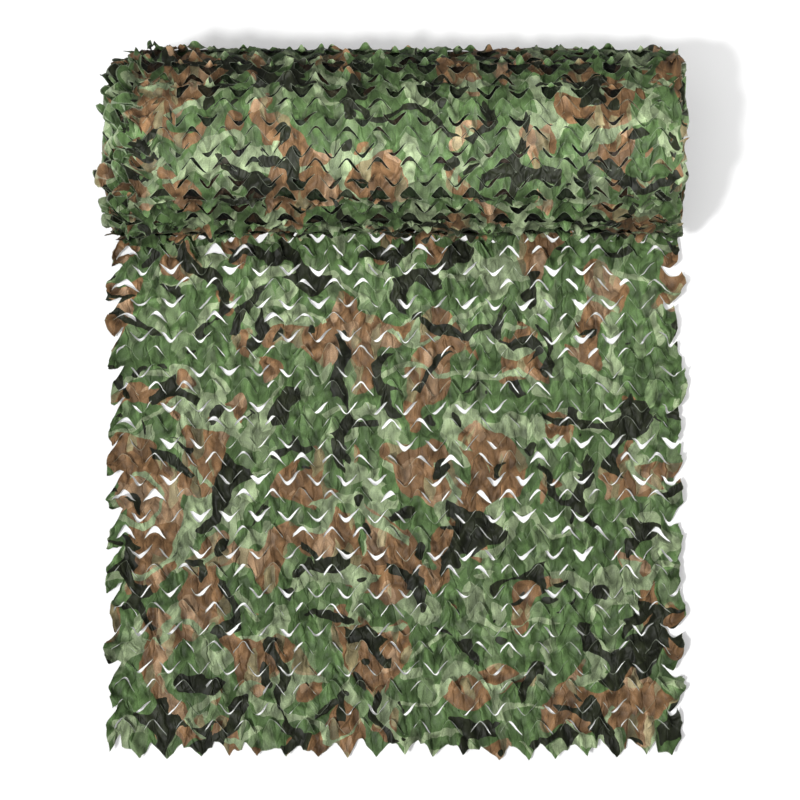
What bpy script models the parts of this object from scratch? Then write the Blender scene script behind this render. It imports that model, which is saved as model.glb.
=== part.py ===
"""A length of die-cut camouflage net: most of it is wound into a roll and the loose end lies flat before it.

Metres. X runs across the net, +Y from the hem to the roll, +Z up. The origin is under the middle.
The cloth is cut by rows of V-shaped slits whose lower edge follows a wave, one V to each pitch of the wave.
"""

import math

import bmesh
import bpy
from mathutils import Vector, noise

# The cloth and its slits
NET_WIDTH = 1.50
PITCHES_ACROSS = 19.3  # the first V is halved by the left edge
WAVE = 0.020  # height of the slits' wave, from its middle line to a crest
SLIT_HALF = 0.36  # half a slit's width, in pitches
CLOTH = 0.002

# The loose end
HEM_Y = -0.930
HEM_MARGIN = 0.101  # from the hem to the first row of slits
NEAR_ROW, FAR_ROW = 0.1067, 0.0940  # from one row to the next: the slits are pulled open more near the hem
SLIT_ROWS = 15
FAR_WIDTH = 1.540
GAP = 0.0125  # widest part of an opened slit
LIP_LIFT = 0.009  # how far the lip below a tongue arches off the floor
EDGE_WANDER = 0.006

# The roll
ROLL_Y = 0.690
ROLL_DEPTH = 0.480
ROLL_HEIGHT = 0.405
FLAT_SPOT = 0.005  # how far the roll's weight presses its belly in
BELLY = 0.060  # the tips below this height are pressed towards the roll
SEAT_GAP = 0.0003
ROLL_LEFT, ROLL_RIGHT = -0.700, 0.752  # the outer turn's two edges
ROLL_PITCHES = 18  # the wound cloth is not pulled open, so its pitch is wider
ROUND_ROWS = 17  # rows of slits round the outer turn
TIP_LIFT, TIP_REACH = 0.014, 0.011  # how far a tongue's tip stands off the roll, and reaches along it
ROLL_LUMPS = 0.007
CLUMP = Vector((-0.70, 0.86))  # where the left end is crumpled: x, and turn round the roll
CLUMP_SIZE, CLUMP_LIFT = 0.11, 0.022

# Each end of the roll, from the outer turn inwards: share of the radius, and how far the turns stand out
LEFT_TURNS = ((0.97, 0.018), (0.90, 0.050), (0.83, 0.036), (0.74, 0.068), (0.66, 0.052),
              (0.56, 0.074), (0.46, 0.056), (0.34, 0.070), (0.22, 0.050), (0.10, 0.062))
RIGHT_TURNS = ((0.97, 0.002), (0.90, -0.014), (0.82, 0.000), (0.74, -0.018), (0.65, -0.002),
               (0.55, -0.020), (0.45, -0.004), (0.34, -0.022), (0.22, -0.006), (0.10, -0.022))
END_LUMPS = 0.012


def clear_scene():
    """Removes whatever the scene holds."""
    for obj in list(bpy.data.objects):
        bpy.data.objects.remove(obj)


def cloth_material(name, colour):
    """Printed polyester cloth, slightly shiny."""
    material = bpy.data.materials.new(name)
    material.use_nodes = True
    shader = material.node_tree.nodes["Principled BSDF"]
    shader.inputs["Base Color"].default_value = (*colour, 1)
    shader.inputs["Roughness"].default_value = 0.6
    shader.inputs["Metallic"].default_value = 0
    return material


def finish(bm, name, collection, material):
    """Turns the bmesh into an object of the part."""
    mesh = bpy.data.meshes.new(name)
    bm.to_mesh(mesh)
    bm.free()
    mesh.shade_smooth()
    mesh.materials.append(material)
    obj = bpy.data.objects.new(name, mesh)
    collection.objects.link(obj)
    return obj


def unevenness(x, y, size, seed):
    """Smooth noise from about -1 to 1, whose lumps are about this size."""
    return noise.noise(Vector((x / size, y / size, seed)))


def wave(across):
    """The slits' wave at a place in pitches: -1 at the tip of each V, 1 halfway between two Vs."""
    return -math.cos(2 * math.pi * across)


def slit_columns():
    """Places across the cloth, in pitches, that the slits need: each V's tip, shoulders and two ends."""
    half, shoulder = SLIT_HALF, SLIT_HALF / 2
    last = int(PITCHES_ACROSS)
    places = [0, shoulder, half]
    for tip in range(1, last):
        places += [tip - half, tip - shoulder, tip, tip + shoulder, tip + half]
    return places + [last - half, last - shoulder, last, (last + PITCHES_ACROSS) / 2, PITCHES_ACROSS]


def gap_share(across):
    """How open a slit is there: 1 at its tip, less at its shoulders, 0 at its ends and on the bridges.

    The two slits that run off the cloth's edges open wider towards the edge.
    """
    tip = round(across)
    off_tip = abs(across - tip) / SLIT_HALF
    if off_tip > 0.99:
        return 0
    if tip == 0:
        return 1.3 * (1 - off_tip)
    if tip == int(PITCHES_ACROSS) and across > tip:
        return 1.1 + 0.2 * off_tip
    return 1 - 0.3 * (off_tip / 0.5) ** 2


def loose_place(across, y):
    """X of a place across the loose end, which widens towards the roll and whose edges wander."""
    widening = (y - HEM_Y) / (ROLL_Y - ROLL_DEPTH / 2 - HEM_Y)
    width = NET_WIDTH + (FAR_WIDTH - NET_WIDTH) * min(1, widening)
    share = across / PITCHES_ACROSS - 0.5
    return share * width + EDGE_WANDER * unevenness(share, y, 0.12, 3)


def loose_lines():
    """The loose end's lines from the hem to under the roll: (middle y, wave height, side of the slit, lift).

    The side is -1 for a slit's lower lip, 1 for its tongue and 0 for a line that is no slit.
    """
    lines = [(HEM_Y + WAVE, WAVE, 0, 0.3)]
    y = HEM_Y + WAVE + HEM_MARGIN
    belly = ROLL_DEPTH * 0.13
    for row in range(SLIT_ROWS):
        lift = min(1, (ROLL_Y - belly - y) / 0.2)
        lines += [(y, WAVE, -1, lift), (y, WAVE, 1, lift)]
        y += NEAR_ROW + (FAR_ROW - NEAR_ROW) * row / (SLIT_ROWS - 1)
    lines.append((ROLL_Y - belly, 0, 0, 0))
    lines.append((ROLL_Y + belly, 0, 0, 0))
    return lines


def loose_point(across, line):
    """A place on the loose end's underside."""
    middle, height, side, lift = line
    y = middle + height * wave(across)
    open_share = gap_share(across)
    loosely = 1 + 0.5 * unevenness(across, middle, 0.9, 7)
    if side:
        y += side * open_share * loosely * GAP / 2
        y += 0.004 * unevenness(across, middle, 0.7, 5)
    elif height:
        y += 0.014 * unevenness(across, middle, 0.35, 9)
    bridge = 0.55 + 0.15 * wave(across)
    tongue = side > 0 and open_share > 0
    rise = max(0, 1 - open_share) * bridge if tongue else bridge + 0.4 * open_share
    return Vector((loose_place(across, y), y, lift * loosely * rise * LIP_LIFT))


def make_loose_end(collection, material):
    """The sheet that lies on the floor: a grid on the slits' waves, with the opened slits left out."""
    columns, lines = slit_columns(), loose_lines()
    columns_last, lines_last = len(columns) - 1, len(lines) - 1
    bm = bmesh.new()
    bmesh.ops.create_grid(bm, x_segments=columns_last, y_segments=lines_last, size=0.5)
    opened = []
    for face in bm.faces:
        middle = face.calc_center_median()
        column = int((middle.x + 0.5) * columns_last)
        line = int((middle.y + 0.5) * lines_last)
        across = (columns[column] + columns[column + 1]) / 2
        if lines[line][2] < 0 and gap_share(across) > 0:
            opened.append(face)
    for vert in bm.verts:
        column = round((vert.co.x + 0.5) * columns_last)
        line = round((vert.co.y + 0.5) * lines_last)
        vert.co = loose_point(columns[column], lines[line])
    bmesh.ops.delete(bm, geom=opened, context="FACES")
    bmesh.ops.remove_doubles(bm, verts=bm.verts, dist=0.0001)
    obj = finish(bm, "loose_end", collection, material)
    thickness = obj.modifiers.new("cloth", "SOLIDIFY")
    thickness.thickness = CLOTH
    thickness.offset = 1
    return obj


def roll_section(turn):
    """(y, z) on the outer turn's section and the way out of it; turn is 0 under the roll and 0.5 on top."""
    angle = 2 * math.pi * turn
    way_out = Vector((math.sin(angle) / ROLL_DEPTH, -math.cos(angle) / ROLL_HEIGHT)).normalized()
    y = ROLL_Y + ROLL_DEPTH / 2 * math.sin(angle)
    z = ROLL_HEIGHT / 2 * (1 - math.cos(angle))
    return Vector((y, z)), way_out


def roll_point(station, line):
    """A place on the roll. station is (x, share of the radius, place across the cloth or None on an end).

    Even lines hold the tips of the Vs, odd lines those of the slits between them, which point the other way.
    """
    x, radius, across = station
    height = 0 if across is None else wave(across)
    points = 1 if line % 2 else -1
    tip = 1 if height * points > 0.9 else 0
    girth = math.pi * (ROLL_DEPTH + ROLL_HEIGHT) / 2
    turn = line / (2 * ROUND_ROWS) + (height * WAVE + tip * points * TIP_REACH) / girth
    section, way_out = roll_section(turn)
    if across is None:
        x += END_LUMPS * unevenness(section.x * radius, section.y * radius, 0.1, x)
    lift = ROLL_LUMPS * unevenness(x, turn * 3, 0.3, 11)
    clump = (Vector((x, turn)) - CLUMP).length / CLUMP_SIZE
    lift += CLUMP_LIFT * math.exp(-clump * clump)
    lift += tip * TIP_LIFT * (1 + 0.8 * unevenness(x, turn * 3, 0.07, 13))
    section += way_out * lift * min(1, section.y / BELLY)
    centre = Vector((ROLL_Y, ROLL_HEIGHT / 2))
    section = centre + (section - centre) * radius
    floor = CLOTH + SEAT_GAP
    return Vector((x, section.x, floor + max(0, section.y - FLAT_SPOT)))


def roll_stations():
    """The roll's rings, from the middle of its left end, over the outer turn, to that of its right end."""
    stations = [(ROLL_LEFT - out, radius, None) for radius, out in reversed(LEFT_TURNS)]
    quarters = 4 * ROLL_PITCHES
    for quarter in range(quarters + 1):
        x = ROLL_LEFT + (ROLL_RIGHT - ROLL_LEFT) * quarter / quarters
        stations.append((x, 1, quarter / 4))
    stations += [(ROLL_RIGHT + out, radius, None) for radius, out in RIGHT_TURNS]
    return stations


def make_roll(collection, material):
    """The wound part: a ball's rings drawn out along X, each set on the roll's section."""
    stations, around = roll_stations(), 2 * ROUND_ROWS
    rings = len(stations) + 1
    bm = bmesh.new()
    bmesh.ops.create_uvsphere(bm, u_segments=around, v_segments=rings, radius=1)
    for vert in bm.verts:
        ring = round(math.acos(max(-1, min(1, -vert.co.z))) / math.pi * rings) - 1
        if 0 <= ring < len(stations):
            line = round(math.atan2(vert.co.y, vert.co.x) / (2 * math.pi) * around) % around
            vert.co = roll_point(stations[ring], line)
        else:
            end = stations[0] if ring < 0 else stations[-1]
            vert.co = roll_point((end[0], 0, None), 0)
    bmesh.ops.recalc_face_normals(bm, faces=bm.faces)
    return finish(bm, "roll", collection, material)


def main():
    clear_scene()
    collection = bpy.data.collections.new("camouflage_net")
    bpy.context.scene.collection.children.link(collection)
    make_loose_end(collection, cloth_material("net_loose", (0.16, 0.24, 0.10)))
    make_roll(collection, cloth_material("net_wound", (0.12, 0.19, 0.08)))


main()
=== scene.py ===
"""Looks of the camouflage net: the cloth with every slit, its wound turns, the print, light and camera.

Metres, in the row frame: +X across the net, +Y from the hem to the roll, +Z up.

The cloth is made of bands that run across the net, each from one line of slits to the next. A cloth array is
(3, bands, cells + 1, columns). On the roll its second row is s, the length round it from below, up behind.
u is the columns' places along a line, in pitches: a pitch is from one V to the next.
"""

import math

import bpy
import numpy as np
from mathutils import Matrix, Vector, noise


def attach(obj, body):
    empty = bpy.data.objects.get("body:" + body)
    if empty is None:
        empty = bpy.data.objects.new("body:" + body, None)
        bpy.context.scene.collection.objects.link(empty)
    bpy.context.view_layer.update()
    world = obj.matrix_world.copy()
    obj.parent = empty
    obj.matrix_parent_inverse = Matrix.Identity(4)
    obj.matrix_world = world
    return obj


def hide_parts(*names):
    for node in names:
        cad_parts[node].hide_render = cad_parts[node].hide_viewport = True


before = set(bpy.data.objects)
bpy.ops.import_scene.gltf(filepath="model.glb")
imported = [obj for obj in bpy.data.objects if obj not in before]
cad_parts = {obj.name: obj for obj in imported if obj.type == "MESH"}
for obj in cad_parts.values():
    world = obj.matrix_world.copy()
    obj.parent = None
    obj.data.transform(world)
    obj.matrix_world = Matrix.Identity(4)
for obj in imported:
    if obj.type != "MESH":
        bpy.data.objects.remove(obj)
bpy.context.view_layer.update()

# The cloth, laid out flat
PITCH = 0.0775
LINE = 0.0470  # from one line of slits to the next, closed
WAVE = 0.0205  # height of the slits' wave, from its middle line to a crest
POINTED = 0.74  # how pointed the wave is: near 0 a sine, 1 straight-sided Vs
PITCHES_ACROSS = 19.3
FULLNESS = 1.03  # how much wider the cloth is than it lies
CELLS = 6  # to a band
COLUMNS = 18  # to a pitch
CUT_LEFT, CUT_RIGHT = (0.26, 0.35), (0.35, 0.44)  # how far a slit reaches from its tip, in pitches
EDGE_BRIDGE = 0.3  # no slit between two Vs has its tip nearer to the edge than this
BRIDGE_HOLD = 0.05  # how much of its way back a bridge is pulled in a step
KEPT_SPEED = 0.96  # from one step to the next

# The loose end, as it lies
HEM_Y = -0.909
NEAR_LINE, FAR_LINE = 0.0533, 0.0470  # from one line to the next, at the hem and far from it
FAR_FROM = 28  # bands from the hem to where the lines are FAR_LINE apart
NEAR_WIDTH, FAR_WIDTH = 1.500, 1.540
WIDENS_OVER = 1.4
BANDS = 31
PLACES = (-0.90, -0.77, -0.57, -0.36, -0.15, 0.06, 0.25, 0.38)  # in y, of the values in the next two
SLACK = (0.0026, 0.0026, 0.0020, 0.0010, 0.0008, 0.0024, 0.0016, 0.0004)  # a band's height beyond what shows
TIP_OPEN = (0.003, 0.004, 0.008, 0.015, 0.016, 0.007, 0.012, 0.017)  # how far the tongues' tips draw back
SMOOTH_BANDS, SMOOTH_EDGE = (11, 14, 22, 25), (1.0, 0.3, 0.3, 1.0)  # the right edge is less notched there
UNDER_ROLL = 0.003  # the cloth stays this far under the roll's belly
THIN = 0.001  # nothing of the cloth lies lower than this
SHEET_PRINT = 2.10  # where the print starts

# The roll
ROLL_Y, ROLL_Z = 0.690, 0.2000
HALF_DEPTH, HALF_HEIGHT = 0.240, 0.2025
ROLL_LEFT, ROLL_RIGHT = -0.700, 0.752
ROLL_PITCHES = 17.7
ROUND_BANDS = 34
WOUND = 0.985  # how high the bands are cut, to how far apart their lines lie
SEAT, FLAT_SPOT = 0.003, 0.005  # how high the roll lies, and how much of its underside is pressed flat
BELLY = 0.06  # below this height the roll's weight presses the leaves in
TALL, TALLER = 0.012, 0.018  # a leaf that stands off more than TALL is bent over, within TALLER above that
LUMP_SIZE, LUMP_HEIGHT = 0.3, 0.007
LUMP_REACH, LUMPS_ACROSS, LUMPS_ROUND = 0.85, 85, 60  # the grid of lumps: its half length, and its steps
LUMP_STEP = 2 * LUMP_REACH / LUMPS_ACROSS
CLUMP_X, CLUMP_TURN, CLUMP_SIZE, CLUMP_HEIGHT = -0.70, 0.86, 0.11, 0.022
BEHIND = 0.014  # how far the slack behind the crown stands out
HORIZON = 0.285  # the furthest place that the camera sees over the crown, in turns
LOW_FRONT = (0.605, 0.03, 0.82, 0.04)  # where the outer turn is loose: start, rise, end and fall, in turns
REAR = (0.30, 0.03, 0.47, 0.05)
FRAYED = 0.17  # how far from its left edge the outer turn is ragged
INNER_DROP = 0.026  # how far the inner turns lie below the outer one

# The wound edges at the roll's ends, one for each turn
END_TURNS, WIDE_TURNS = 34, 7  # the outermost turns' edges are seen further in
WIDE, NARROW = 0.136, 0.072
EDGE_PITCH = 0.08
EDGE_FREE = 0.10  # how far from the cut edge its leaves stand out
END_SHARES = [0.975 - turn * 0.955 / END_TURNS for turn in range(END_TURNS)]  # sizes, to the roll's

# The print
GREEN, SAGE = (0.074, 0.128, 0.044), (0.230, 0.290, 0.160)
BROWN, TAN = (0.180, 0.100, 0.046), (0.290, 0.185, 0.105)
BLACK = (0.014, 0.017, 0.008)
# A painted highlight, mixed in along the cloth's cut edges
EDGE_HIGHLIGHT = (0.42, 0.48, 0.36)

# Light and camera
KEY = Vector((-0.42, -0.40, 0.81)).normalized()
OVERHEAD = Vector((-0.16, -0.24, 0.95)).normalized()
LOOK_AT = Vector((0.0117, 0.021, 0.05))
ELEVATION, DISTANCE = math.radians(75), 10
SENSOR, LENS = 36, 4.676  # the lens is in sensor widths

rng = np.random.default_rng(11)


def wave(u):
    """The slits' wave at a place in pitches: -1 at the tip of each V, 1 halfway between two Vs."""
    return -np.arcsin(POINTED * np.cos(2 * np.pi * u)) / math.asin(POINTED)


def from_tip(u):
    """How far a place is from the nearest V's tip, in pitches."""
    return np.abs((u + 0.5) % 1 - 0.5)


def columns_of(pitches, columns):
    """The columns' places along a line."""
    return np.arange(round(pitches * columns) + 1) / columns


def between(grid, ix, iy, fx, fy):
    """The grid's value at a share of the way from one of its points to the next."""
    near = grid[ix, iy] * (1 - fx) + grid[ix + 1, iy] * fx
    far = grid[ix, iy + 1] * (1 - fx) + grid[ix + 1, iy + 1] * fx
    return near * (1 - fy) + far * fy


def lumps(x, y, size):
    """Smooth seeded noise from about -1 to 1, whose lumps are about this size."""
    gx, gy = x / size, y / size
    gx, gy = gx - gx.min(), gy - gy.min()
    ix, iy = gx.astype(int), gy.astype(int)
    fx, fy = gx - ix, gy - iy
    fx, fy = fx * fx * (3 - 2 * fx), fy * fy * (3 - 2 * fy)
    return between(rng.uniform(-1, 1, (ix.max() + 2, iy.max() + 2)), ix, iy, fx, fy)


# ---------------------------------------------------------------- the cloth, settled


def cut_lines(u, lines):
    """True where a line joins the bands beside it. Even lines are cut at the Vs, odd lines between them."""
    joined = np.ones((lines, len(u)), bool)
    for line in range(lines):
        for tip in np.arange(0, u[-1]) + 0.5 * (line % 2):
            left, right = rng.uniform(*CUT_LEFT), rng.uniform(*CUT_RIGHT)
            if line % 2 == 0 or (tip > EDGE_BRIDGE and tip + right < u[-1]):
                joined[line, (u > tip - left) & (u < tip + right)] = False
    return joined


def flat_bands(u, cells, pitch, heights):
    """The bands laid flat, one above the other."""
    flat = np.zeros((2, len(heights), cells + 1, len(u)), np.float32)
    flat[0] = u * pitch
    starts = np.cumsum(heights) - heights
    rows = starts[:, None] + heights[:, None] * (np.arange(cells + 1) / cells)
    flat[1] = rows[:, :, None] + WAVE * wave(u)
    return flat


def bridge_hold(u, bands, cells):
    """How firmly each point is held: only the middles of the bridges are."""
    hold = np.zeros((1, bands, cells + 1, len(u)), np.float32)
    off = from_tip(u)
    for band in range(bands):
        under_v = band % 2 == 0
        hold[0, band, 0, off > 0.42 if under_v else off < 0.08] = BRIDGE_HOLD
        hold[0, band, cells, off < 0.08 if under_v else off > 0.42] = BRIDGE_HOLD
    return hold


def springs(cloth, flat, joined, shear, bend):
    """What keeps the cloth's shape: what pull() needs of each set of pairs.

    In one set no point is in two pairs, so that all its pairs are pulled at once.
    """
    cells = flat.shape[2] - 1
    found = []

    def add(first, second, stiffness):
        """A set of pairs, from two slices of the cloth."""
        length = np.hypot(*(flat[second] - flat[first])).astype(np.float32)
        found.append((cloth[first], cloth[second], length, stiffness))

    for s in (0, 1):
        add(np.s_[..., s:-1:2], np.s_[..., s + 1::2], 1.0)
    for s in (0, 1):
        add(np.s_[:, :, s:-1:2], np.s_[:, :, s + 1::2], 1.0)
    for s in (0, 1):
        add(np.s_[:, :, s:-1:2, :-1], np.s_[:, :, s + 1::2, 1:], shear)
        add(np.s_[:, :, s:-1:2, 1:], np.s_[:, :, s + 1::2, :-1], shear)
    for s in range(4):
        add(np.s_[..., s:-2:4], np.s_[..., s + 2::4], bend)
        if s + 2 <= cells:
            add(np.s_[:, :, s:-2:4], np.s_[:, :, s + 2::4], bend)
    along = np.hypot(*(flat[:, :, 1:] - flat[:, :, :-1])).astype(np.float32)
    over = along[:-1, -1] + along[1:, 0]
    found.append((cloth[:, :-1, cells - 1], cloth[:, 1:, 1], over, bend, joined.astype(np.float32)))
    return found


def pull(a, b, length, stiffness, share=None):
    """Moves two views of points towards their distance."""
    d = b - a
    now = np.sqrt(d[0] * d[0] + d[1] * d[1] + d[2] * d[2]) + 1e-9
    move = (0.5 * stiffness) * (1 - length / now)
    if share is not None:
        move = move * share
    d *= move
    a += d
    b -= d


def relax(cloth, joined, flat, goal, hold, steps, weight, floor, lid=None, lift=None, shear=0.35, bend=0.12):
    """Lets the cloth settle: its lengths are the flat ones, its bridges are held, and it rests on the floor.

    joined has the lines between the bands, and goal is where the bridges are held. weight and lift are the
    speed gained in a step. Nothing passes below floor or above lid. The cloth is changed in place.
    """
    pairs = springs(cloth, flat, joined, shear, bend)
    speed = np.zeros_like(cloth)
    for _ in range(steps):
        before = cloth.copy()
        speed *= KEPT_SPEED
        speed[2] -= weight
        if lift is not None:
            speed[2] += lift
        cloth += speed
        for pair in pairs:
            pull(*pair)
        middle = 0.5 * (cloth[:, :-1, -1] + cloth[:, 1:, 0])
        cloth[:, :-1, -1] = np.where(joined, middle, cloth[:, :-1, -1])
        cloth[:, 1:, 0] = np.where(joined, middle, cloth[:, 1:, 0])
        cloth[:2] += (goal - cloth[:2]) * hold
        np.maximum(cloth[2], floor, out=cloth[2])
        if lid is not None:
            np.minimum(cloth[2], lid, out=cloth[2])
        speed = cloth - before
        speed[:2] *= np.where(cloth[2] <= floor + 1e-5, 0.5, 1.0).astype(np.float32)


# ---------------------------------------------------------------- the cloth's leaves and creases


def opening(u, bands, cells):
    """The way each tongue's tip points along the cloth, fading into the cloth: to draw the slits open."""
    off = from_tip(u)
    near = (np.arange(cells + 1) / cells)[:, None]
    share = np.zeros((bands, cells + 1, len(u)))
    share[0::2] = np.clip(1.15 - off / 0.38, 0, 1) ** 0.8 * -(1 - near) ** 1.5
    share[0::2] += np.clip(1.15 - (0.5 - off) / 0.38, 0, 1) ** 0.8 * near ** 1.5
    return share


def tips(u, bands, cells, reach=2):
    """1 at the tongues' tips, fading to 0 into the cloth over this many cells."""
    share = np.zeros((bands, cells + 1, len(u)), np.float32)
    off = from_tip(u)
    for cell in range(reach):
        fade = 1 - cell / reach
        share[0::2, cell] = np.clip(1 - off / 0.2, 0, 1) * fade
        share[0::2, cells - cell] = np.clip(1 - (0.5 - off) / 0.2, 0, 1) * fade
    return share


def leaves(x, y, u, bands, cells, ridge, lift, spread, close):
    """Where each tongue's crease, curl and twist put it: an array to add to the cloth.

    ridge is the creases' height. lift and spread are how far the tips rise and swing. close is how far they
    reach over their slits, or draw back where it is negative.
    """
    near = np.arange(cells + 1)[None, :, None] / cells
    move = np.zeros((3, bands, cells + 1, len(u)))
    half = (bands + 1) // 2
    for side in (0, 1):
        number = np.floor(u + 0.5 * (1 - side)).astype(int)
        off = (u - number - 0.5 * side)[None, None, :]
        tip = near if side else 1 - near

        def each(low, high):
            """A number for each tongue."""
            return rng.uniform(low, high, (half, number.max() + 1))[:, number][:, None, :]

        crease = np.clip(each(-0.2, 0.2) + each(-0.2, 0.2) * (1 - tip), -0.3, 0.3)
        tent = np.where(off < crease, (off + 0.5) / (crease + 0.5), (0.5 - off) / (0.5 - crease))
        tent = np.clip(tent, 0, 1)
        petal = 0.45 * tent ** 1.3 + 0.55 * np.sin(np.pi / 2 * tent) ** 0.8
        height = each(-0.6, 1.0)
        height = np.sign(height) * (0.35 + 0.65 * np.abs(height)) * ridge
        bump = np.cos(np.pi * off) ** 2
        closing = each(-0.35, 1.0) * close
        rise = each(0.0, 1.0) ** 2 * lift + 0.7 * np.maximum(closing, 0)
        move[2, 0::2] += height * petal * tip ** 0.7 + rise * np.cos(np.pi * off) * tip
        pinch = each(0.0, 0.5) * off * (1 - 2 * np.abs(off)) * PITCH
        move[0, 0::2] += (each(-spread, spread) * bump - pinch) * tip ** 1.5
        move[1, 0::2] += (1 if side else -1) * closing * bump ** 1.5 * tip ** 2
    fold = np.abs(lumps(x + 0.3 * y, y * 0.5, 0.024)) + np.abs(lumps(x - 0.5 * y, y * 0.6, 0.034)) - 0.8
    move[2] += 0.50 * ridge * fold
    return move.astype(np.float32)


def edge_tabs(u, bands, cells, out_left, out_right, notch_right=1.0):
    """How the leaves along both side edges narrow, droop and stand out, where slits run out at the edge."""
    pair = np.arange(bands) // 2
    within = np.arange(bands)[:, None] + np.arange(cells + 1) / cells - (2 * pair[:, None] + 1)
    within = within[:, :, None]
    move = np.zeros((3, bands, cells + 1, len(u)))

    def each(low, high):
        """A number for each leaf: a pair of bands."""
        return rng.uniform(low, high, pair[-1] + 1)[pair][:, None, None]

    for side, inward, out, notch in ((-1, u, out_left, 1.0), (1, u[-1] - u, out_right, notch_right)):
        edge = np.clip(1 - inward / 0.5, 0, 1)
        away = np.abs(within - each(-0.7, 0.2))
        move[0] += side * edge * (each(-0.3, 0.9) - 0.30 * away ** 2) * out
        move[1] -= edge ** 1.2 * within * each(0.20, 0.55) * notch * LINE
        move[1] += edge ** 1.5 * each(-1.0, 0.6) * out
        move[2] += edge ** 2 * each(0.1, 1.0) * out
    return move.astype(np.float32)


def hem_leaves(u, cells):
    """How the hem's leaves depart from the slits' wave: straight-sided points, uneven cut-off notches."""
    number = np.floor(u + 0.5).astype(int)

    def each(low, high):
        """A number for each leaf."""
        return rng.uniform(low, high, number.max() + 1)[number]

    off = u - number + 0.07 * each(-1, 1)
    cap = np.where(off < 0, each(0.016, 0.054), each(0.016, 0.054))
    edge = each(-0.016, 0.002) + np.minimum(np.abs(off) * PITCH * each(1.1, 1.6), cap)
    edge += 0.003 * lumps(u * PITCH, u * 0, 0.012)
    fade = (1 - np.arange(cells + 1) / cells)[:, None]
    return fade * (edge - WAVE * (1 + wave(u)))


def crumple(x, y, size, amount):
    """Crumpled cloth's uneven places, to add to it where amount is not 0."""
    return np.stack([amount * lumps(x, y, size) for _ in range(3)]).astype(np.float32)


def relief(height):
    """Where the cloth stands above (1) or below (0) its neighbourhood, by 4 mm or more."""
    smooth = height.copy()
    for _ in range(3):
        smooth[..., 2:-2] = (smooth[..., :-4] + smooth[..., 2:-2] + smooth[..., 4:]) / 3
    return np.clip(0.5 + 0.5 * (height - smooth) / 0.004, 0, 1)


# ---------------------------------------------------------------- meshes


def weld(index, joined):
    """Gives both sides of each line the same point numbers where it is joined."""
    for band in range(len(index) - 1):
        join = joined[band + 1]
        index[band + 1, 0, join] = index[band, -1, join]


def band_faces(index):
    """The faces between the bands' points, by their numbers."""
    quads = [index[:, :-1, :-1], index[:, :-1, 1:], index[:, 1:, 1:], index[:, 1:, :-1]]
    return np.stack(quads, -1).reshape(-1, 4)


def points_of(array):
    """A cloth array's points, one to a row."""
    return array.reshape(3, -1).T


def rim_points(quads, count):
    """1 at the points on the cloth's cut edges, 0 at the others."""
    edges = np.sort(np.stack([quads, np.roll(quads, -1, 1)], -1).reshape(-1, 2), 1)
    key, times = np.unique(edges[:, 0] * count + edges[:, 1], return_counts=True)
    rim = np.zeros(count, np.float32)
    rim[key[times == 1] // count] = 1
    rim[key[times == 1] % count] = 1
    return rim


def build(name, points, quads, print_at, material):
    """A mesh object from arrays, without the points that no face uses.

    print_at has a row for each point: its place on the print, and its ridge, which sets the material's
    painted shade and light: 0 in a crease, 1 on a ridge.
    """
    used = np.unique(quads)
    new = np.zeros(len(points), int)
    new[used] = np.arange(len(used))
    mesh = bpy.data.meshes.new(name)
    mesh.vertices.add(len(used))
    mesh.vertices.foreach_set("co", np.ascontiguousarray(points[used], np.float32).ravel())
    mesh.loops.add(quads.size)
    mesh.loops.foreach_set("vertex_index", new[quads].ravel().astype(np.int32))
    mesh.polygons.add(len(quads))
    mesh.polygons.foreach_set("loop_start", np.arange(0, quads.size, 4, dtype=np.int32))
    mesh.update(calc_edges=True)
    mesh.validate()
    mesh.shade_smooth()
    ridge = np.ascontiguousarray(print_at[used, 2], np.float32)
    mesh.attributes.new("ridge", "FLOAT", "POINT").data.foreach_set("value", ridge)
    flat = np.ascontiguousarray(print_at[used] * (1, 1, 0), np.float32)
    mesh.attributes.new("print_at", "FLOAT_VECTOR", "POINT").data.foreach_set("vector", flat.ravel())
    # The rim attribute marks the cut edges, which the material paints with a highlight
    rim = rim_points(new[quads], len(used))
    mesh.attributes.new("rim", "FLOAT", "POINT").data.foreach_set("value", rim)
    mesh.materials.append(material)
    obj = bpy.data.objects.new(name, mesh)
    bpy.context.scene.collection.objects.link(obj)
    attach(obj, "root")
    return obj


def cloth_mesh(name, place, joined, flat, print_start, ridge, material):
    """A mesh of the bands at these places, joined where its lines are."""
    index = np.arange(place[0].size).reshape(place[0].shape)
    weld(index, joined)
    print_at = np.zeros(place.shape, np.float32)
    print_at[:2] = flat
    print_at[1] += print_start
    print_at[2] = ridge
    return build(name, points_of(place), band_faces(index), points_of(print_at), material)


# ---------------------------------------------------------------- material


def node(tree, kind, *sources, **named):
    """A shader node. The sources go to its first inputs, and what has a capital to the input of that name.

    A source is a socket to link, a value, or None to leave the input. The other names are settings.
    """
    made = tree.nodes.new("ShaderNode" + kind)
    inputs = list(zip(made.inputs, sources))
    for key, value in named.items():
        if key[0].isupper():
            inputs.append((made.inputs[key], value))
        else:
            setattr(made, key, value)
    for socket, source in inputs:
        if isinstance(source, bpy.types.NodeSocket):
            tree.links.new(source, socket)
        elif source is not None:
            socket.default_value = source
    return made


def cloud(tree, place, scale, detail, roughness=0.5, distortion=0.0):
    """Noise from 0 to 1 at a place on the print."""
    noisy = node(tree, "TexNoise", place, Scale=scale, Detail=detail, Roughness=roughness,
                 Distortion=distortion)
    return noisy.outputs["Fac"]


def moved(tree, place, offset, stretch):
    """The place, stretched and then moved."""
    return node(tree, "Mapping", place, offset, None, stretch).outputs[0]


def math_of(tree, operation, *values):
    """What a Math node makes of the values."""
    return node(tree, "Math", *values, operation=operation).outputs[0]


def ramp(tree, value, start, end, low, high, smooth=False):
    """Goes from low to high while the value goes from start to end."""
    kind = "SMOOTHSTEP" if smooth else "LINEAR"
    return node(tree, "MapRange", value, start, end, low, high, interpolation_type=kind).outputs[0]


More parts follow.
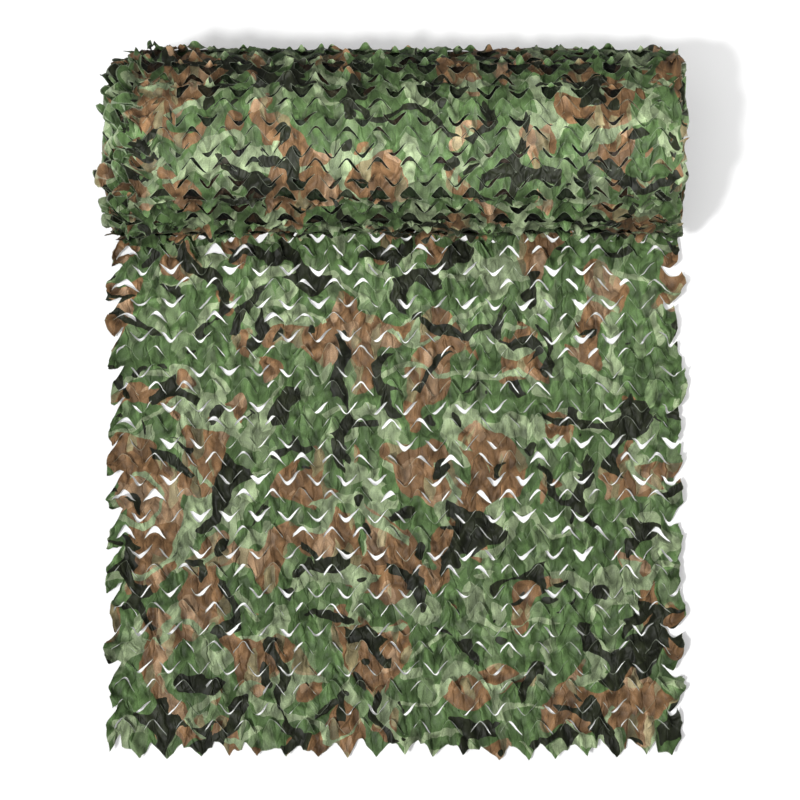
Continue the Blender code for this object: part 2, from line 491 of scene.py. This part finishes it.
def mix(tree, a, b, share):
    """The colour a where share is 0, and b where it is 1."""
    mixed = node(tree, "Mix", share, data_type="RGBA")
    for value, socket in ((a, mixed.inputs[6]), (b, mixed.inputs[7])):
        if isinstance(value, tuple):
            socket.default_value = (*value, 1)
        else:
            tree.links.new(value, socket)
    return mixed.outputs[2]


def shapes(tree, spot, offset, scale, stretch, cut, distortion):
    """1 within crisp shapes: where a noise is above the cut."""
    value = cloud(tree, moved(tree, spot, offset, stretch), scale, 1.0, 0.45, distortion)
    return math_of(tree, "GREATER_THAN", value, cut)


def strokes(tree, spot, offset, scale, stretch, width, mask_scale, mask_cut):
    """1 within curving strokes: where one noise is near its middle and another is high."""
    place = moved(tree, spot, offset, stretch)
    near = math_of(tree, "COMPARE", cloud(tree, place, scale, 0.5), 0.5, width)
    here = math_of(tree, "GREATER_THAN", cloud(tree, place, mask_scale, 0.5), mask_cut)
    return math_of(tree, "MULTIPLY", near, here)


def woodland(tree, spot, veil):
    """The print's colour: green ground, brown earth, sage, and black strokes and shapes."""
    ground = mix(tree, GREEN, SAGE, shapes(tree, spot, (3.1, 0.0, 0.0), 10.0, (1.0, 0.65, 1.0), 0.60, 0.3))
    earth = mix(tree, BROWN, TAN, shapes(tree, spot, (9.7, 2.0, 0.0), 11.0, (1.0, 0.6, 1.0), 0.60, 0.3))
    where_earth = shapes(tree, spot, (17.3, 5.0, 0.0), 6.8, (1.0, 0.75, 1.0), 0.545, 0.6)
    colour = mix(tree, ground, earth, where_earth)
    sage_strokes = strokes(tree, spot, (5.5, 1.7, 0.0), 7.0, (0.85, 1.0, 1.0), 0.032, 6.0, 0.49)
    colour = mix(tree, colour, SAGE, sage_strokes)
    colour = mix(tree, colour, SAGE, veil)
    black_strokes = strokes(tree, spot, (31.9, 8.0, 0.0), 6.4, (0.95, 0.95, 1.0), 0.040, 6.5, 0.535)
    colour = mix(tree, colour, BLACK, black_strokes)
    black_shapes = shapes(tree, spot, (41.9, 18.0, 0.0), 10.0, (0.9, 0.9, 1.0), 0.655, 0.8)
    return mix(tree, colour, BLACK, black_shapes)


def painted_crease_lines(tree, straight):
    """Less than 1 along thin lines: painted shade along the cloth's sharp creases."""
    place = moved(tree, straight, (0.7, 0.3, 0.0), (1.0, 0.45, 1.0))
    middle = math_of(tree, "SUBTRACT", cloud(tree, place, 24.0, 1.0, distortion=0.2), 0.5)
    away = math_of(tree, "ABSOLUTE", middle)
    return ramp(tree, away, 0.0, 0.04, 0.78, 1.0, smooth=True)


def crumpled_normal(tree, spot, facets, facet):
    """The cloth's small relief: facets, the folds between them, fine creases and the weave."""
    crease = moved(tree, spot, (0.0, 0.0, 0.0), (1.0, 0.45, 1.0))
    fine = cloud(tree, crease, 45.0, 2.0, distortion=0.6)
    fold = node(tree, "TexVoronoi", facets, feature="DISTANCE_TO_EDGE", Scale=30.0)
    edge = ramp(tree, fold.outputs["Distance"], 0.0, 0.16, 0.0, 1.0, smooth=True)
    weave = node(tree, "TexWave", spot, Scale=260.0).outputs["Fac"]
    normal = None
    for height, strength, distance in ((facet.outputs["Distance"], 0.8, 0.007), (edge, 1.0, 0.0028),
                                       (fine, 0.6, 0.006), (weave, 0.15, 0.0004)):
        bump = node(tree, "Bump", Strength=strength, Distance=distance, Height=height, Normal=normal)
        normal = bump.outputs[0]
    return normal


def cloth_material(name, brightness, crease_shade, ridge_shade):
    """Printed polyester: woodland shapes with crisp edges, fine creases and a weave, a slight sheen, and
    painted light and shade: facets painted lighter and darker, dark lines along creases, shade in hollows,
    light on ridges and a highlight along the cut edges.

    crease_shade and ridge_shade are the painted shade where the mesh's ridge attribute is 0 and the painted
    light where it is 1.
    """
    material = bpy.data.materials.new(name)
    material.use_nodes = True
    tree = material.node_tree
    shader = tree.nodes["Principled BSDF"]
    shader.inputs["Roughness"].default_value = 0.55
    shader.inputs["Specular IOR Level"].default_value = 0.22
    shader.inputs["Sheen Weight"].default_value = 0.03

    straight = node(tree, "Attribute", attribute_name="print_at").outputs["Vector"]
    wobble = node(tree, "TexNoise", straight, Scale=26.0, Detail=1.5).outputs["Color"]
    lobed = node(tree, "VectorMath", wobble, (0.022, 0.022, 0.0), straight, operation="MULTIPLY_ADD")
    spot = lobed.outputs[0]
    facets = moved(tree, spot, (0.0, 0.0, 0.0), (1.25, 0.48, 1.0))
    facet = node(tree, "TexVoronoi", facets, Scale=30.0)
    tone = node(tree, "SeparateColor", facet.outputs["Color"])
    veil = math_of(tree, "MULTIPLY", math_of(tree, "GREATER_THAN", tone.outputs[1], 0.80), 0.35)
    colour = woodland(tree, spot, veil)

    ridge = node(tree, "Attribute", attribute_name="ridge").outputs["Fac"]
    grain = cloud(tree, straight, 330.0, 2.0, 0.6)
    # Painted light and shade: the facets are painted lighter and darker, as crumpled cloth's facets catch
    # the light. Then come the ridge attribute's painted shade and light, the painted crease lines, and the
    # weave's own grain
    shade = ramp(tree, tone.outputs[0], 0.0, 1.0, 0.62 * brightness, 1.30 * brightness)
    for factor in (ramp(tree, ridge, 0.0, 1.0, crease_shade, ridge_shade), painted_crease_lines(tree, straight),
                   ramp(tree, grain, 0.3, 0.7, 0.80, 1.20)):
        shade = math_of(tree, "MULTIPLY", shade, factor)
    toned = node(tree, "VectorMath", colour, None, None, shade, operation="SCALE").outputs[0]
    rim = node(tree, "Attribute", attribute_name="rim").outputs["Fac"]
    # Painted highlight: where the rim attribute is 1, the cut edges are mixed towards a pale green, less in
    # the darker material
    edge_highlighted = mix(tree, toned, EDGE_HIGHLIGHT, ramp(tree, rim, 0.70, 1.0, 0.0, 0.35 * brightness))
    tree.links.new(edge_highlighted, shader.inputs["Base Color"])
    tree.links.new(crumpled_normal(tree, spot, facets, facet), shader.inputs["Normal"])
    return material


CLOTH = cloth_material("net_print", 1.0, 0.48, 1.44)
# Painted shade: a dark copy of the cloth's material for the turns below the outer one, painted lighter where
# their ridge attribute is 1, at the horizon
SHADED_WITHIN = cloth_material("net_print_shaded_within", 0.12, 0.96, 5.0)  # below the outer turn: light only at the horizon

# ---------------------------------------------------------------- the loose end


def band_heights():
    """Where the lines of slits lie, and the flat height of the cloth between them."""
    far = np.minimum(1, np.arange(BANDS) / FAR_FROM)
    apart = NEAR_LINE + (FAR_LINE - NEAR_LINE) * far
    lines = HEM_Y + np.concatenate([[0], np.cumsum(apart)])
    return lines, apart + np.interp(lines[:-1], PLACES, SLACK)


def belly_lid(y):
    """How high the cloth may stand there: under the roll's belly it is pressed flat."""
    inside = np.clip(1 - ((y - ROLL_Y) / HALF_DEPTH) ** 2, 0, 1)
    lid = ROLL_Z - HALF_HEIGHT * np.sqrt(inside) - UNDER_ROLL
    return np.where(inside > 0, np.maximum(lid, 2 * THIN), 1.0)[:, :, None].astype(np.float32)


def ruffle_sheet(cloth, u, lines, lid):
    """Gives the loose end its leaves, its notched side edges and its hem."""
    x, y = cloth[0].copy(), cloth[1].copy()
    tip_open = np.interp(lines[:-1:2], PLACES, TIP_OPEN)[:, None, None]
    on_left = np.clip((0.38 - u / PITCHES_ACROSS) / 0.2, 0, 1)
    close = -tip_open * (1 + 0.6 * on_left)
    cloth += leaves(x, y, u, BANDS, CELLS, ridge=0.019, lift=0.010, spread=0.007, close=close)
    notch_right = np.interp(np.arange(BANDS), SMOOTH_BANDS, SMOOTH_EDGE)[:, None, None]
    cloth += edge_tabs(u, BANDS, CELLS, 0.017, 0.016, notch_right)
    edge = np.clip((np.abs(x) - 0.64) / 0.12, 0, 1)
    cloth += crumple(x, y, 0.035, 0.007 * edge) * np.array([0.8, 1, 1])[:, None, None, None]
    cloth += crumple(x, y, 0.017, 0.0015 + 0.003 * edge)
    cloth[2] += 0.008 * edge
    cloth[1, 0] += hem_leaves(u, CELLS)
    cloth[2] = np.clip(cloth[2] + 0.004, THIN, lid)


def loose_end():
    """The sheet on the floor, from its hem to where it turns up behind the roll's belly."""
    u = columns_of(PITCHES_ACROSS, COLUMNS)
    lines, heights = band_heights()
    flat = flat_bands(u, CELLS, PITCH * FULLNESS, heights)
    share = np.arange(CELLS + 1) / CELLS
    rows = lines[:-1, None] * (1 - share) + lines[1:, None] * share
    cloth = np.zeros((3, BANDS, CELLS + 1, len(u)), np.float32)
    cloth[1] = rows[:, :, None] + WAVE * wave(u)
    widen = np.clip((cloth[1] - HEM_Y) / WIDENS_OVER, 0, 1)
    cloth[0] = (u / PITCHES_ACROSS - 0.5) * (NEAR_WIDTH + (FAR_WIDTH - NEAR_WIDTH) * widen)
    cloth[0] += 0.004 * lumps(cloth[0], cloth[1], 0.2)
    cloth[1] += 0.006 * lumps(cloth[0], cloth[1], 0.22)
    goal = cloth[:2].copy()
    joined = cut_lines(u, BANDS + 1)
    hold = bridge_hold(u, BANDS, CELLS)
    cloth[2] = 0.008 + 0.007 * lumps(cloth[0], cloth[1], 0.05) + 0.004 * lumps(cloth[0], cloth[1], 0.022)
    goal += 0.0025 * np.stack([lumps(cloth[0], cloth[1], 0.04), lumps(cloth[0], cloth[1], 0.04)])
    lid = belly_lid(rows)
    steps = 700
    relax(cloth, joined[1:-1], flat, goal, hold, steps, 4e-6, THIN, lid, bend=0.06)
    ruffle_sheet(cloth, u, lines, lid)
    return cloth_mesh("loose_end_cloth", cloth, joined, flat, SHEET_PRINT, relief(cloth[2]), CLOTH)


# ---------------------------------------------------------------- the roll


def round_lengths(angles):
    """The lengths round the roll's section, from underneath to each angle."""
    y, z = HALF_DEPTH * np.sin(angles), HALF_HEIGHT * np.cos(angles)
    return np.concatenate([[0], np.cumsum(np.hypot(np.diff(y), np.diff(z)))])


def solid_lumps():
    """The lumps of the roll's solid, from end to end and once round."""
    xs = np.linspace(-LUMP_REACH, LUMP_REACH, LUMPS_ACROSS + 1)
    turns = np.linspace(0, 1, LUMPS_ROUND + 1)
    return np.array([[noise.noise(Vector((x / LUMP_SIZE, turn * 3 / LUMP_SIZE, 11))) for turn in turns]
                     for x in xs])


ANGLES = np.linspace(0, 2 * np.pi, 721)
LENGTHS = round_lengths(ANGLES)
GIRTH = LENGTHS[-1]
SOLID_LUMPS = solid_lumps()


def window(turn, start, rise, end, fall):
    """0 outside start and end, and 1 within them once it has risen and until it falls."""
    return np.clip((turn - start) / rise, 0, 1) * np.clip((end - turn) / fall, 0, 1)


def peak(turn, at, reach, top=1.0):
    """Falls from 1 at a place to 0 at top times the reach from it."""
    return np.clip(top - np.abs(turn - at) / reach, 0, 1)


def loose_places(turn):
    """How loose the outer turn is there: low in front and behind the crown, where its slits gape and its
    cloth is painted darker for shade.
    """
    return window(turn, *LOW_FRONT), window(turn, *REAR)


def drawn_in(x, turn):
    """How far the left end's outer turns draw in where they come up from behind."""
    return 0.034 * np.exp(-((turn - 0.33) / 0.07) ** 2) * np.clip(1 - (x - ROLL_LEFT) / 0.15, 0, 1.2)


def roll_lump(x, turn):
    """How far the solid's lumps stand out there, with its clump low at the front on the left."""
    gx = np.clip((x + LUMP_REACH) / LUMP_STEP, 0, LUMPS_ACROSS - 0.001)
    gt = np.clip(turn * LUMPS_ROUND, 0, LUMPS_ROUND - 0.001)
    ix, it = gx.astype(int), gt.astype(int)
    clump = ((x - CLUMP_X) ** 2 + (turn - CLUMP_TURN) ** 2) / CLUMP_SIZE ** 2
    return LUMP_HEIGHT * between(SOLID_LUMPS, ix, it, gx - ix, gt - it) + CLUMP_HEIGHT * np.exp(-clump)


def wind(x, s, height, share=1.0, out=0.0):
    """Places on the roll's surface, or on a turn of this share of its size; height is off the turn."""
    angle = np.interp(s % GIRTH, LENGTHS, ANGLES)
    ny, nz = np.sin(angle) / HALF_DEPTH, -np.cos(angle) / HALF_HEIGHT
    size = np.hypot(ny, nz)
    height = np.where(height > TALL, TALL + TALLER * np.tanh((height - TALL) / TALLER), height)
    y, z = HALF_DEPTH * np.sin(angle), -HALF_HEIGHT * np.cos(angle)
    off = roll_lump(x, angle / (2 * np.pi)) + height + out
    off = off * np.clip((z + HALF_HEIGHT) / BELLY, 0.15, 1)
    y, z = (y + off * ny / size) * share, (z + off * nz / size) * share
    z = np.maximum(z + HALF_HEIGHT - FLAT_SPOT, 0) + SEAT
    if share > 0.7:
        x = x + drawn_in(x, angle / (2 * np.pi)) * (share - 0.7) / 0.3
    return np.stack([x, ROLL_Y + y, z])


def ruffle_turn(cloth, u, cells):
    """Gives the outer turn its leaves, gaping slits and ragged left end. Returns its ridge attribute,
    lowered where the cloth is painted in shade.
    """
    x, s = cloth[0].copy(), cloth[1].copy()
    left_edge = np.clip((ROLL_LEFT + FRAYED - x) / FRAYED, 0, 1)
    low_front, rear = loose_places(s / GIRTH + 0.012 * lumps(x, s, 0.09))
    low_lines, rear_lines = loose_places(np.arange(0, ROUND_BANDS, 2) / ROUND_BANDS)
    close = -(0.0045 + 0.022 * low_lines + 0.024 * rear_lines)[:, None, None]
    moves = leaves(x, s, u, ROUND_BANDS, cells, ridge=0.012, lift=0.010, spread=0.007, close=close)
    moves = moves * (1 + left_edge)
    drawn = (0.009 * low_front + 0.013 * rear) * (1 + 0.9 * lumps(x, s, 0.05))
    moves[1] -= drawn * opening(u, ROUND_BANDS, cells)
    raised = 0.010 * (low_front + rear) * tips(u, ROUND_BANDS, cells, 3)
    moves[2] += raised * (1 + 0.8 * lumps(x, s, 0.05))
    cloth += moves
    cloth += edge_tabs(u, ROUND_BANDS, cells, 0.028, 0.010)
    cloth += crumple(x, s, 0.055, 0.012 * left_edge ** 1.5)
    cloth += crumple(x, s, 0.017, 0.0015 + 0.0015 * left_edge)
    cloth[2] = np.maximum(cloth[2], -0.006)
    # Painted shade: the ridge attribute is lowered behind the crown and low in front, which paints the cloth
    # there darker
    return np.maximum(relief(cloth[2]) - 0.42 * rear - 0.30 * low_front, 0)


def turn_cloth(name, left, right, pitches, drop, columns, cells, print_start, curl, steps):
    """One whole turn of the roll: the outer one, which curls, or one that lies drop below it, doesn't curl,
    and is painted dark for shade.
    """
    u = columns_of(pitches, columns)
    pitch = (right - left) / pitches
    line = GIRTH / ROUND_BANDS
    flat = flat_bands(u, cells, pitch, np.full(ROUND_BANDS, line * WOUND))
    share = np.arange(cells + 1) / cells
    cloth = np.zeros((3, ROUND_BANDS, cells + 1, len(u)), np.float32)
    cloth[1] = ((np.arange(ROUND_BANDS)[:, None] + share) * line)[:, :, None] + WAVE * wave(u)
    cloth[0] = left + u * pitch
    cloth[0] += 0.003 * lumps(cloth[0], cloth[1], 0.2)
    cloth[1] += 0.007 * lumps(cloth[0], cloth[1], 0.18)
    goal = cloth[:2].copy()
    joined = cut_lines(u, ROUND_BANDS + 1)
    hold = bridge_hold(u, ROUND_BANDS, cells)
    cloth[2] = 0.003 + 0.003 * lumps(cloth[0], cloth[1], 0.045) + 0.002 * lumps(cloth[0], cloth[1], 0.02)
    lift = curl * tips(u, ROUND_BANDS, cells) * (1 + lumps(cloth[0], cloth[1], 0.06))
    steps = steps
    relax(cloth, joined[1:-1], flat, goal, hold, steps, 1e-5, 0.0, lift=lift)
    if curl:
        ridge = ruffle_turn(cloth, u, cells)
    behind = peak(cloth[1] / GIRTH, 0.30, 0.13)
    # At the horizon the turn below fills the outer turn's slits, so that no floor shows, and its painted
    # shade is lifted there by its ridge attribute, so that it is as light.
    horizon = peak(cloth[1] / GIRTH, HORIZON, 0.028, 1.3)
    place = wind(cloth[0], cloth[1], cloth[2] - drop * (1 - 1.3 * horizon), out=BEHIND * behind)
    place = place.astype(np.float32)
    if curl:
        return cloth_mesh(name, place, joined, flat, print_start, ridge, CLOTH)
    return cloth_mesh(name, place, joined, flat, print_start, horizon, SHADED_WITHIN)


def core():
    """The turns below, seen only through the slits, painted dark for shade."""
    x = np.linspace(ROLL_LEFT + 0.01, ROLL_RIGHT - 0.012, 30)
    s = np.linspace(0, GIRTH, 91)
    gx, gs = np.meshgrid(x, s, indexing="ij")
    place = wind(gx, gs, np.zeros_like(gx) - INNER_DROP)
    index = np.arange(gx.size).reshape(gx.shape)
    quads = np.stack([index[:-1, :-1], index[1:, :-1], index[1:, 1:], index[:-1, 1:]], -1).reshape(-1, 4)
    spot = np.stack([gx + 4, gs + 3, gx * 0])
    return build("inner_turns", points_of(place), quads, points_of(spot), SHADED_WITHIN)


def turn_edge(turn, share, side, out):
    """The edge of one turn: its points' places, where its bands are joined, and its places on the print."""
    wide = turn < WIDE_TURNS
    columns, cells = (10, 4) if wide else (7, 2)
    bands = max(6, 2 * round(ROUND_BANDS * share / 2))
    u = columns_of((WIDE if wide else NARROW) / EDGE_PITCH, columns)
    line = GIRTH / bands
    edge = out(share) + rng.uniform(-0.010, 0.010)
    edge += rng.uniform(0, 0.014) if wide and side < 0 else 0
    rows = (np.arange(bands)[:, None] + np.arange(cells + 1) / cells) * line
    wound = rows[:, :, None] + WAVE / max(share, 0.3) * wave(u)
    x = np.broadcast_to(u * EDGE_PITCH, wound.shape)
    s = wound * share
    free = np.clip(1 - x / EDGE_FREE, 0, 1)
    strip = np.stack([x, wound, 0 * x])
    ragged = (1.0 if wide else 0.5) * (1.5 if side < 0 else 0.9)
    strip += leaves(x, s, u, bands, cells, ridge=0.011 * ragged, lift=0.018 * ragged, spread=0.008 * ragged,
                    close=-0.006) * free
    strip += crumple(x, s, 0.055, 0.013 * ragged * free ** 1.2)
    strip += crumple(x, s, 0.018, 0.002 * free)
    if wide and side < 0:
        strip += edge_tabs(u, bands, cells, 0.044, 0.0)
    x, s = strip[0], strip[1] + rng.uniform(0, 2) * line
    world_x = (ROLL_LEFT - edge + x) if side < 0 else (ROLL_RIGHT + edge - x)
    place = wind(world_x, s, strip[2] / max(share, 0.15), share)
    spot = np.stack([x + side * 3, s * share + turn * 0.71, relief(strip[2])])
    return place, cut_lines(u, bands + 1), spot


def end_turns(name, side, out):
    """The wound edges at one end: each turn's edge is a narrow strip that stands in or out of the roll."""
    points, faces, prints, total = [], [], [], 0
    for turn, share in enumerate(END_SHARES):
        place, joined, spot = turn_edge(turn, share, side, out)
        index = np.arange(place[0].size).reshape(place[0].shape) + total
        weld(index, joined)
        index[-1, -1] = index[0, 0]
        points.append(points_of(place))
        faces.append(band_faces(index))
        prints.append(points_of(spot))
        total += place[0].size
    return build(name, np.concatenate(points), np.concatenate(faces), np.concatenate(prints), CLOTH)


def left_out(share):
    """How far the left end's turns stand out, from the outside inwards."""
    table = ((1.0, 0.004), (0.97, 0.018), (0.90, 0.050), (0.83, 0.040), (0.74, 0.066), (0.66, 0.054),
             (0.56, 0.070), (0.46, 0.058), (0.34, 0.068), (0.22, 0.054), (0.10, 0.060), (0.0, 0.055))
    shares, outs = zip(*reversed(table))
    return float(np.interp(share, shares, outs))


def right_out(share):
    """The same at the neat right end."""
    return 0.004 - 0.012 * (1 - share)


loose = loose_end()
outer = turn_cloth("outer_turn", ROLL_LEFT, ROLL_RIGHT, ROLL_PITCHES, drop=0.0, columns=16, cells=6,
                   print_start=5.70, curl=2.5e-5, steps=500)
second = turn_cloth("second_turn", ROLL_LEFT - 0.01, ROLL_RIGHT - 0.004, ROLL_PITCHES + 0.5, drop=0.012,
                    columns=8, cells=4, print_start=3.1, curl=0, steps=200)
inner = core()
left_end = end_turns("left_edges", -1, left_out)
right_end = end_turns("right_edges", 1, right_out)

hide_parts("loose_end")
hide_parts("roll")

# ---------------------------------------------------------------- floor, light and camera


def floor_paint():
    """Matt paint that is near white to the camera, and darker to the light it throws back on the net."""
    paint = bpy.data.materials.new("floor")
    paint.use_nodes = True
    tree = paint.node_tree
    matt = tree.nodes["Principled BSDF"]
    matt.inputs["Roughness"].default_value = 0.9
    matt.inputs["Emission Color"].default_value = (1, 1, 1, 1)
    seen = node(tree, "LightPath").outputs["Is Camera Ray"]
    tree.links.new(mix(tree, (0.15, 0.15, 0.15), (0.72, 0.72, 0.72), seen), matt.inputs["Base Color"])
    tree.links.new(math_of(tree, "MULTIPLY", seen, 0.27), matt.inputs["Emission Strength"])
    return paint


def studio_sky():
    """A white backdrop whose light comes from a wide soft patch overhead."""
    world = bpy.data.worlds.new("studio")
    world.use_nodes = True
    sky = world.node_tree
    direction = node(sky, "TexCoord").outputs["Generated"]
    facing = node(sky, "VectorMath", direction, OVERHEAD, operation="DOT_PRODUCT").outputs["Value"]
    strength = ramp(sky, facing, 0.58, 1.0, 0.02, 1.25, smooth=True)
    seen = node(sky, "LightPath").outputs["Is Camera Ray"]
    backdrop = math_of(sky, "MAXIMUM", strength, seen)
    sky.links.new(backdrop, sky.nodes["Background"].inputs["Strength"])
    sky.nodes["Background"].inputs["Color"].default_value = (1, 1, 1, 1)
    return world


def place_in_scene(name, data):
    """An object of this data, in the scene."""
    placed = bpy.data.objects.new(name, data)
    bpy.context.scene.collection.objects.link(placed)
    return placed


def softbox(name, place, aim, size, energy, glossy=True):
    """A rectangular light that the camera doesn't see, and gloss only where it says so."""
    light = bpy.data.lights.new(name, "AREA")
    light.shape = "RECTANGLE"
    light.size, light.size_y = size
    light.energy = energy
    lamp = place_in_scene(name, light)
    lamp.location = place
    lamp.rotation_euler = (Vector(place) - Vector(aim)).to_track_quat("Z", "Y").to_euler()
    lamp.visible_camera = False
    lamp.visible_glossy = glossy


ground = bpy.data.meshes.new("floor")
ground.from_pydata([(-30, -30, 0), (30, -30, 0), (30, 30, 0), (-30, 30, 0)], [], [(0, 1, 2, 3)])
ground.materials.append(floor_paint())
place_in_scene("floor", ground)

bpy.context.scene.world = studio_sky()
key = bpy.data.lights.new("key", "SUN")
key.energy = 2.6
key.angle = math.radians(7)
place_in_scene("key", key).rotation_euler = KEY.to_track_quat("Z", "Y").to_euler()
softbox("strip", (0, ROLL_Y - 0.20, 0.85), (0, ROLL_Y - 0.04, 0.4), (1.7, 0.22), 5.0)
softbox("right_fill", (2.6, 1.5, 0.6), (0.75, 0.69, 0.2), (0.9, 0.9), 36.0, glossy=False)
softbox("back_fill", (-0.4, 3.3, 0.5), (0, 0.9, 0.15), (1.2, 0.6), 1.5, glossy=False)

lens = bpy.data.cameras.new("camera")
lens.sensor_width = SENSOR
lens.lens = SENSOR * LENS
camera = place_in_scene("camera", lens)
back = Vector((0, -math.cos(ELEVATION), math.sin(ELEVATION)))
camera.location = LOOK_AT + back * DISTANCE
camera.rotation_euler = (-back).to_track_quat("-Z", "Y").to_euler()
bpy.context.scene.camera = camera
bpy.context.scene.view_settings.view_transform = "Standard"
